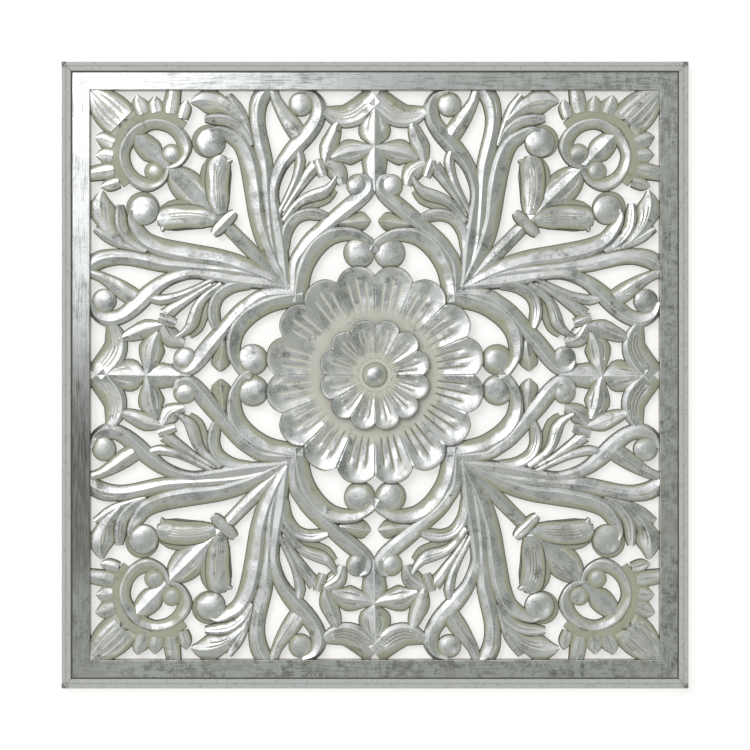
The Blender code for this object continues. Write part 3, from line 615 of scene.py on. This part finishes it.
def addStroke(relief, level, look, rows):
    # Sweeps a section with a crest and two planes along a stroke.
    spec = {**plainLook, **levels[level], **look}
    crest, bow, grooves = spec["crest"], spec["bow"], spec["grooves"]
    curve = curveThrough(rows, drawing["stationSpacing"])
    spine = [row.xy for row in curve]
    last = len(spine) - 1
    lengths = [0.0]
    for before, point in zip(spine, spine[1:]):
        lengths.append(lengths[-1] + (point - before).length)
    inner = strokeColumns(crest, grooves)
    lead, fade = drawing["grooveEnds"]
    sections = []
    for i, row in enumerate(curve):
        direction = (spine[min(i + 1, last)] - spine[max(i - 1, 0)]).normalized()
        side = Vector((-direction.y, direction.x))
        half = max(row.z / 2, drawing["leastHalf"])
        inset = min(drawing["rimInset"] / (half * unit), drawing["mostInset"])
        reach = 1 - drawing["rimClear"] * inset
        share = lengths[i] / lengths[-1]
        widths = {-1: (crest + 1) * half * unit, 1: (1 - crest) * half * unit}
        drops = {}
        for sign, width in widths.items():
            narrow = width < drawing["narrowSide"] * max(widths.values())
            steep = spec["slope"] * (drawing["narrowSteep"] if narrow else 1.0)
            drops[sign] = min(steep * width, drawing["deepestDrop"])
        slimness = max(0.0, drawing["slimHalf"] - half)
        peak = spec["top"] - drawing["slimDrop"] * slimness * unit * spec["slope"]
        section = []

        def put(u, height, rim=0.0, groove=0.0, ridge=0.0):
            place = row.xy + side * half * u
            flank = min(1.0, abs(u - crest) / (1 + abs(crest)))
            section.append(relief.point(place.x, place.y, height, rim, max(groove, spec["wash"]),
                                        spec["leaf"], flank, ridge))

        put(-1, 0, 1)
        put(-1, peak - drops[-1] - drawing["rimDrop"], 1)
        put(-1 + inset, peak - drops[-1], drawing["shoulderRim"])
        for u in inner:
            sign = -1 if u <= crest else 1
            away = (crest - u) / (crest + 1) if u <= crest else (u - crest) / (1 - crest)
            away = min(max(away, 0.0), 1.0)
            height = peak - drops[sign] * (away - bow * away * (1 - away))
            cut = 0.0
            for place, start, end in grooves:
                if abs(u - place) < 1e-6:
                    cut = smoothStep(start, start + lead, share)
                    cut *= 1 - smoothStep(end - fade, end, share)
            depth = min(drawing["grooveDepth"], drawing["grooveShare"] * half * unit)
            # The crest takes the painted white highlight.
            highlighted = spec["crestHighlight"] if u == crest else 0.0
            put(max(-reach, min(reach, u)), height - depth * cut, 0.0, cut, highlighted)
        put(1 - inset, peak - drops[1], drawing["shoulderRim"])
        put(1, peak - drops[1] - drawing["rimDrop"], 1)
        put(1, 0, 1)
        sections.append(section)
    relief.grid(sections, turned=True)
    relief.face(sections[0])
    relief.face(sections[-1][::-1])
    relief.stand([section[0] for section in sections] + [section[-1] for section in reversed(sections)])


ballShape = {"sides": 28, "rings": (0.96, 0.86, 0.72, 0.55, 0.36, 0.17), "lip": 0.4, "fall": 2.2,
             "fullness": 0.85, "rimShare": 0.9}


def addBall(relief, across, up, radius, edge, top, cover):
    # A ball in low relief: its foot, its upright side, then rings that close over the dome.
    sides = ballShape["sides"]
    rings = [(1.0, 0.0, 1.0), (1.0, edge - ballShape["lip"], 1.0)]
    for share in ballShape["rings"]:
        dome = (1 - share ** ballShape["fall"]) ** ballShape["fullness"]
        rings.append((share, edge + (top - edge) * dome, 0.4 if share > ballShape["rimShare"] else 0.0))
    loops = [relief.ring(across, up, share * radius, sides, height, rim, 0.0, cover, share)
             for share, height, rim in rings]
    relief.grid(loops)
    centre = relief.point(across, up, top, leaf=cover)
    for i in range(sides):
        relief.face((loops[-1][i], loops[-1][i + 1], centre))
    relief.stand(loops[0][:-1])


# The flower: two rings of scooped petals, the hollow between them and the boss.
flower = {
    "outerPetals": {"count": 16, "tip": 38.8, "notch": 35.1, "root": 19.6, "floor": 4.8, "rim": 13.9,
                    "scoop": 2.6},
    "innerPetals": {"count": 12, "tip": 19.7, "notch": 17.2, "root": 4.6, "floor": 6.2, "rim": 13.4,
                    "scoop": 1.7},
    "bluntness": 2.5,
    "rows": 18,
    "columns": (-1.0, -0.93, -0.78, -0.25, 0.25, 0.78, 0.93, 1.0),
    "grooves": (-0.5, 0.0, 0.5),  # shares of a petal's half angle
    "grooveWidth": 0.115,
    "grooveRun": (0.06, 0.84),  # shares of its length
    "grooveEnds": (0.1, 0.2),
    "sideShorter": 0.08,
    "grooveDepth": 1.9,
    "spread": 0.9,  # how evenly the rows lie along a petal
    "rise": 2.0,
    "scoopShape": 2.2,
    "scoopRun": (0.0, 0.35),
    "rimRun": (0.97, 1.0),
    "seamRun": (0.0, 0.15),
    "seamDepth": 1.4,  # millimetres between two petals
    "seamRim": 0.6,
    "rootWash": 0.40,
    "leaf": (0.15, 0.45),  # at the root, and how much more beyond it
    "rootFade": (0.08, 0.34),  # share of a petal over which the painted root turns to leaf
    "leafFade": (0.06, 0.34),
    "hollow": {"radius": 22.0, "inner": 14.0, "height": 5.2, "wash": 0.32, "sides": 96},
    # The boss from its foot to its top: radius, height, cut edge, cover of leaf.
    "boss": ((6.2, 6.3, 0, 0.1), (4.7, 6.0, 0.3, 0.1), (4.2, 6.2, 0.8, 0.1), (4.2, 7.0, 0.5, 0.2),
             (3.9, 8.2, 0, 0.2), (3.4, 8.9, 0, 0.3), (2.9, 9.2, 0.25, 0.3), (2.6, 9.8, 0, 0.5),
             (2.0, 10.6, 0, 0.7), (1.1, 11.0, 0, 0.8), (0.3, 11.1, 0, 0.8)),
    "bossSides": 48,
    "outlineSteps": 12,
}


def rimRadius(spec, share):
    # How far out a petal reaches at a share of its half angle.
    return spec["notch"] + (spec["tip"] - spec["notch"]) * (1 - abs(share) ** flower["bluntness"])


def addPetal(relief, spec):
    # One petal from its root to its scalloped rim, then down to the back.
    width = flower["grooveWidth"]
    columns = set(flower["columns"])
    for groove in flower["grooves"]:
        columns |= {groove - width, groove, groove + width}
    columns = sorted(columns)
    half = math.pi / spec["count"]
    (lead, fade), (least, more) = flower["grooveEnds"], flower["leaf"]
    sections = []
    rows = flower["rows"]
    for row in range(rows + 1):
        t = row / rows
        section = []
        for u in columns:
            radius = spec["root"] + (rimRadius(spec, u) - spec["root"]) * t ** flower["spread"]
            height = spec["floor"] + (spec["rim"] - spec["floor"]) * t ** flower["rise"]
            height += spec["scoop"] * (abs(u) ** flower["scoopShape"]) * smoothStep(*flower["scoopRun"], t)
            cut = 0.0
            if u in flower["grooves"]:
                start, end = flower["grooveRun"]
                end = end if u == 0 else end - flower["sideShorter"]
                cut = smoothStep(start, start + lead, t) * (1 - smoothStep(end - fade, end, t))
            rim = smoothStep(*flower["rimRun"], t)
            height -= drawing["rimDrop"] * rim
            if abs(u) == 1:
                height -= flower["seamDepth"] * smoothStep(*flower["seamRun"], t)
                rim = max(rim, flower["seamRim"])
            wash = max(cut, flower["rootWash"] * (1 - smoothStep(*flower["rootFade"], t)))
            section.append(relief.point(radius * math.sin(u * half), radius * math.cos(u * half),
                                        height - flower["grooveDepth"] * cut, rim, wash,
                                        least + more * smoothStep(*flower["leafFade"], t)))
        sections.append(section)
    foot = []
    for u in columns:
        radius = rimRadius(spec, u)
        foot.append(relief.point(radius * math.sin(u * half), radius * math.cos(u * half), 0, 1))
    relief.grid(sections + [foot])


def scallopedOutline(spec):
    # The ring's outer edge seen flat, in metres.
    outline = []
    steps = flower["outlineSteps"]
    for i in range(spec["count"] * steps):
        radius = rimRadius(spec, 2 * (i % steps) / steps - 1) * unit / 1000
        angle = 2 * math.pi * (i / steps) / spec["count"]
        outline.append((radius * math.sin(angle), radius * math.cos(angle)))
    return outline


def addTurned(relief, profile, sides, wash=0.0):
    # A turned shape round the panel's centre, from (radius, height, rim, leaf) points.
    rings = [relief.ring(0, 0, radius, sides, height, rim, wash, leaf)
             for radius, height, rim, leaf in profile]
    relief.grid(rings)
    relief.face(rings[-1][:-1])


def addBorder(relief):
    # The flat band round the pierced field, as four mitred rails in one ring.
    outer, inner = board["half"] / unit, 100.0
    inset = drawing["rimInset"] / unit
    top = board["thickness"]
    snug = outer + drawing["jointFill"] / unit
    shoulder, edge = top - drawing["jointDepth"], top - drawing["bevel"]
    # Each loop's half side, height and cut edge, from the back round to the back.
    loops = [(snug, 0, 1), (snug, shoulder, 1), (outer, shoulder, 1), (outer, edge, 1),
             (outer - inset, top, 1.0), (outer - 2 * inset, top, 0),
             ((outer + inner) / 2, top, 0), (inner + 2 * inset, top, 0), (inner + inset, top, 0.3),
             (inner, edge, 1), (inner, 0, 1), (snug, 0, 1)]
    stations = drawing["borderStations"]
    corners = [(1, 1), (-1, 1), (-1, -1), (1, -1)]
    rings = []
    for half, height, rim in loops:
        ring = []
        for (x0, y0), (x1, y1) in zip(corners, corners[1:] + corners[:1]):
            for i in range(stations):
                t = i / stations
                ring.append(relief.point(half * (x0 + (x1 - x0) * t), half * (y0 + (y1 - y0) * t),
                                         height, rim, 0, 0.9))
        rings.append(ring + ring[:1])
    relief.grid(rings)


def signedArea(outline):
    return 0.5 * sum(a[0] * b[1] - b[0] * a[1] for a, b in zip(outline, outline[1:] + outline[:1]))


def addBackSheet(relief):
    # One flat sheet closes the back: the union of the outlines of all the feet.
    points, loops = [], []
    for outline in relief.feet:
        start = len(points)
        points += [Vector(point) for point in outline]
        loop = list(range(start, len(points)))
        loops.append(loop if signedArea(outline) > 0 else loop[::-1])
    cells = delaunay_2d_cdt(points, [], loops, 0, drawing["weld"], True)
    scale = 1000 / unit
    places = [relief.point(place.x * scale, place.y * scale, 0, 1) for place in cells[0]]
    for corners, owners in zip(cells[2], cells[5]):
        if owners:
            relief.face([places[i] for i in reversed(corners)])


# How often each part is repeated: the sign of across, the sign of up, and whether they swap.
eightCopies = [(a, b, swap) for a in (1, -1) for b in (1, -1) for swap in (False, True)]
diagonalCopies = [(a, b, False) for a in (1, -1) for b in (1, -1)]
axisCopies = [(1, 1, False), (1, -1, False), (1, 1, True), (-1, 1, True)]

wander = {"reach": 0.0009, "wave": 9.0, "calmEdge": 0.08}  # metres, radians a metre, share of the half


def warped(x, z):
    # Hand carving is never quite even: the whole drawing wanders by up to about a millimetre.
    wave = wander["wave"]
    edge = 1 - max(abs(x), abs(z)) / (fieldHalf / 1000)
    reach = wander["reach"] * min(max(edge / wander["calmEdge"], 0), 1)
    dx = math.sin(x * wave + 1.3) * math.cos(z * wave * 1.3 + 0.4) + 0.5 * math.sin(z * 31 + x * 17)
    dz = math.cos(x * wave * 1.2 - 0.7) * math.sin(z * wave + 2.1) + 0.5 * math.sin(x * 29 - z * 19 + 1)
    return x + reach * dx, z + reach * dz


def shadeWithFlatBack(mesh, sharp):
    # Smooth but for creases sharper than the given degrees and the back, which is one flat sheet.
    mesh.shade_smooth()
    mesh.set_sharp_from_angle(angle=math.radians(sharp))
    for face in mesh.polygons:
        if face.normal.y > 0.95:
            face.use_smooth = False


def finishRelief(relief, name, sharp):
    item = relief.makeObject(name)
    mesh = item.data
    tool = bmesh.new()
    tool.from_mesh(mesh)
    bmesh.ops.remove_doubles(tool, verts=tool.verts, dist=drawing["weld"])
    bmesh.ops.triangulate(tool, faces=[face for face in tool.faces if len(face.verts) > 4])
    tool.to_mesh(mesh)
    tool.free()
    shadeWithFlatBack(mesh, sharp)
    return item


def buildFoliage():
    eight, diagonal, axis, whole = (reliefMesh() for i in range(4))
    for level, look, rows in strokes.values():
        addStroke(eight, level, look, rows)
    for spec in balls.values():
        addBall(eight, *spec)
    for level, look, rows in middleStrokes.values():
        addStroke(axis if rows[0][0] == 0 else diagonal, level, look, rows)
    for part, copies in ((eight, eightCopies), (diagonal, diagonalCopies), (axis, axisCopies)):
        for flips in copies:
            whole.addCopy(part, *flips)
    addBackSheet(whole)
    print("back sheet closed")
    behind = -drawing["backInset"] / 1000
    for i, (x, y, z) in enumerate(whole.places):
        across, up = warped(x, z)
        whole.places[i] = (across, min(y, behind), up)
    return finishRelief(whole, "carved_foliage", drawing["sharpAngle"])


foliage = buildFoliage()
print("foliage:", len(foliage.data.polygons), "faces")


def ringOfPetals(petal, spec, name):
    # Geometry Nodes turn one carved petal into the whole ring, kept as a plain mesh.
    tree = bpy.data.node_groups.new(name + "_nodes", "GeometryNodeTree")
    sockets = {}
    for title, kind in (("Petal", "Geometry"), ("Petal Count", "Int"), ("First Turn", "Float"),
                        ("Finish", "Material")):
        sockets[title] = tree.interface.new_socket(title, in_out="INPUT", socket_type="NodeSocket" + kind)
    tree.interface.new_socket("Ring", in_out="OUTPUT", socket_type="NodeSocketGeometry")
    given = addNode(tree, "NodeGroupInput").outputs
    points = addNode(tree, "GeometryNodePoints", None, given["Petal Count"]).outputs[0]
    index = addNode(tree, "GeometryNodeInputIndex").outputs[0]
    step = addMath(tree, "DIVIDE", 2 * math.pi, given["Petal Count"])
    turn = addScaled(tree, index, step, given["First Turn"])
    rotation = addNode(tree, "ShaderNodeCombineXYZ", None, Y=turn).outputs[0]
    placed = addNode(tree, "GeometryNodeInstanceOnPoints", None, points, Instance=given["Petal"],
                     Rotation=rotation).outputs[0]
    real = addNode(tree, "GeometryNodeRealizeInstances", None, placed).outputs[0]
    finished = addNode(tree, "GeometryNodeSetMaterial", None, real, Material=given["Finish"]).outputs[0]
    addNode(tree, "NodeGroupOutput", None, finished)
    modifier = petal.modifiers.new("ring", "NODES")
    modifier.node_group = tree
    for title, value in (("Petal Count", spec["count"]), ("First Turn", math.pi / spec["count"]),
                         ("Finish", carvedSilver)):
        modifier[sockets[title].identifier] = value
    seen = petal.evaluated_get(bpy.context.evaluated_depsgraph_get())
    mesh = bpy.data.meshes.new_from_object(seen)
    petal.modifiers.clear()
    bpy.data.objects.remove(petal)
    return mesh


def buildFlower():
    parts = []
    for ring in ("outerPetals", "innerPetals"):
        petal = reliefMesh()
        addPetal(petal, flower[ring])
        parts.append(ringOfPetals(petal.makeObject(ring), flower[ring], ring))
    middle = reliefMesh()
    hollow = flower["hollow"]
    profile = [(radius, hollow["height"], 0, 0.1) for radius in (hollow["radius"], hollow["inner"])]
    addTurned(middle, profile, hollow["sides"], hollow["wash"])
    addTurned(middle, flower["boss"], flower["bossSides"])
    middle.feet.append(scallopedOutline(flower["outerPetals"]))
    addBackSheet(middle)
    centre = finishRelief(middle, "centre_flower", drawing["flowerSharpAngle"])
    tool = bmesh.new()
    tool.from_mesh(centre.data)
    for part in parts:
        tool.from_mesh(part)
        bpy.data.meshes.remove(part)
    bmesh.ops.remove_doubles(tool, verts=tool.verts, dist=drawing["weld"])
    tool.to_mesh(centre.data)
    tool.free()
    shadeWithFlatBack(centre.data, drawing["flowerSharpAngle"])
    return centre


flowerPiece = buildFlower()
print("flower:", len(flowerPiece.data.polygons), "faces")

borderRelief = reliefMesh()
addBorder(borderRelief)
borderPiece = finishRelief(borderRelief, "border_band", drawing["borderSharpAngle"])
print("border:", len(borderPiece.data.polygons), "faces")

for piece, material in ((foliage, carvedSilver), (flowerPiece, carvedSilver), (borderPiece, bandSilver)):
    piece.data.materials.clear()
    piece.data.materials.append(material)
    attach(piece, "root")
    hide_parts("carved_panel")

greyPaint = {
    "face": "#dadcdb",
    "worn": "#bebfba",
    "bare": "#57544a",
    "grain": (5, 4.0),
    "chips": (2.5, 2.0),
    "grainBump": (0.25, 0.0004),
    "grainRange": (0.50, 0.80),
    "chipRange": (0.80, 0.86),
    "cornerWear": (0.445, 0.4515),  # metres from the middle, both ways
    "wearSpread": 0.010,
    "mitreLine": (0.0004, 0.0022, 0.75, 0.0),  # metres from the mitre, then how dark
    "roughness": 0.55,
}


def makeGreyPaint(name, spec):
    # Chalky grey paint on wood, with the grain showing faintly and rubbed thin along the edges.
    material, tree = newMaterial(name)
    place = addNode(tree, "ShaderNodeTexCoord").outputs["Object"]
    grain, chips = (addNoise(tree, place, *spec[name]) for name in ("grain", "chips"))
    colour = addBlend(tree, addRange(tree, grain, *spec["grainRange"]), spec["face"], spec["worn"])
    colour = addBlend(tree, addRange(tree, chips, *spec["chipRange"]), colour, spec["bare"])
    spot = addNode(tree, "ShaderNodeSeparateXYZ", None, place)
    across, up = (addMath(tree, "ABSOLUTE", spot.outputs[axis]) for axis in ("X", "Z"))
    nearest = addMath(tree, "MINIMUM", across, up)
    corner = addRange(tree, addScaled(tree, grain, spec["wearSpread"], nearest), *spec["cornerWear"])
    apart = addMath(tree, "ABSOLUTE", addMath(tree, "SUBTRACT", across, up))
    mitre = addRange(tree, apart, *spec["mitreLine"])
    colour = addBlend(tree, addMath(tree, "MAXIMUM", corner, mitre), colour, spec["bare"])
    colour = addBareBack(tree, place, colour)[0]
    bump = addBump(tree, *spec["grainBump"], grain)
    addSurface(tree, Base_Color=colour, Roughness=spec["roughness"], Normal=bump)
    return material


stripPaint = makeGreyPaint("chalky_grey_paint_on_wood", greyPaint)
for side in ("top", "right", "bottom", "left"):
    strip = bpy.data.objects["edge_strip_" + side]
    strip.data.materials.clear()
    strip.data.materials.append(stripPaint)
print("materials made")


stage = {
    "wallPaint": "#f4f4f3",
    "wallGlow": 0.53,
    "floorPaint": "#c4c4c0",
    "roughness": 0.9,
    "wallGap": 0.004,  # metres behind the panel's back
    "floorHeight": -2.2,
    "wallTop": 2.6,
    "halfWidth": 3,
    "floorReach": (-4, 3),
}


def makeStage():
    # A white wall close behind the panel, clear from the back, and a pale floor well below the view.
    wall, tree = newMaterial("white_wall")
    shader = addNode(tree, "ShaderNodeBsdfPrincipled", None, Base_Color=linearColour(stage["wallPaint"]),
                     Roughness=stage["roughness"], Emission_Color=(1, 1, 1, 1),
                     Emission_Strength=stage["wallGlow"])
    clear = addNode(tree, "ShaderNodeBsdfTransparent")
    behind = addNode(tree, "ShaderNodeNewGeometry").outputs["Backfacing"]
    mix = addNode(tree, "ShaderNodeMixShader", None, behind, shader.outputs[0], clear.outputs[0])
    addNode(tree, "ShaderNodeOutputMaterial", None, mix.outputs[0])
    ground, tree = newMaterial("pale_floor")
    addSurface(tree, Base_Color=linearColour(stage["floorPaint"]), Roughness=stage["roughness"])
    half, gap, low, high = (stage[name] for name in ("halfWidth", "wallGap", "floorHeight", "wallTop"))
    near, far = stage["floorReach"]
    for name, finish, corners in (
        ("wall", wall, ((-half, gap, low), (half, gap, low), (half, gap, high), (-half, gap, high))),
        ("floor", ground, ((-half, near, low), (half, near, low), (half, far, low), (-half, far, low))),
    ):
        mesh = bpy.data.meshes.new(name)
        mesh.from_pydata(corners, [], [(0, 1, 2, 3)])
        mesh.materials.append(finish)
        plane = addObject(name, mesh)


makeStage()

shot = {"distance": 3.0, "seenWidth": 1.076, "sensor": 36}  # metres from the strips' front, metres, mm
camera = addObject("camera", bpy.data.cameras.new("camera"))
camera.data.sensor_width = shot["sensor"]
camera.data.lens = shot["sensor"] * shot["distance"] / shot["seenWidth"]
camera.location = (0, cadBox[0][1] - shot["distance"], 0)
camera.rotation_euler = (math.radians(90), 0, 0)
bpy.context.scene.camera = camera

studio = {
    "lamps": {  # each one's place, width and power; all face the panel's middle
        "soft_key_upper_left": ((-1.25, -2.5, 1.25), 1.5, 10),
        "pale_window_by_the_camera": ((-0.82, -2.7, 0.82), 1.4, 2.6),
        "small_low_right_lamp": ((1.3, -2.4, -1.5), 0.7, 2.0),
    },
    "brightSide": (-0.6, -0.45, 0.66),  # where the white end of the room is
    "darkTint": "#a0a49c",
    "lightTint": "#ffffff",
    "glowRange": (0.25, 1.0),
    "glow": (0.33, 0.90),  # how bright the room is at its dark and its white end
}
for name, (place, size, power) in studio["lamps"].items():
    lamp = bpy.data.lights.new(name, "AREA")
    lamp.shape, lamp.size, lamp.energy = "DISK", size, power
    item = addObject(name, lamp)
    item.location = place
    item.rotation_euler = (-Vector(place)).to_track_quat("-Z", "Y").to_euler()

world = bpy.data.worlds.new("studio")
bpy.context.scene.world = world
world.use_nodes = True
room = world.node_tree
room.nodes.clear()
direction = addNode(room, "ShaderNodeTexCoord").outputs["Generated"]
towards = Vector(studio["brightSide"]).normalized()
facing = addNode(room, "ShaderNodeVectorMath", {"operation": "DOT_PRODUCT"}, direction, towards)
facing = facing.outputs["Value"]
white = addRange(room, facing, *studio["glowRange"])
tint = addBlend(room, white, studio["darkTint"], studio["lightTint"])
darkEnd = studio["glow"][0] / linearColour(studio["darkTint"])[1]
glow = addRange(room, facing, *studio["glowRange"], darkEnd, studio["glow"][1])
background = addNode(room, "ShaderNodeBackground", None, tint, glow)
addNode(room, "ShaderNodeOutputWorld", None, background.outputs[0])
bpy.context.scene.view_settings.view_transform = "Standard"

print("scene ready")
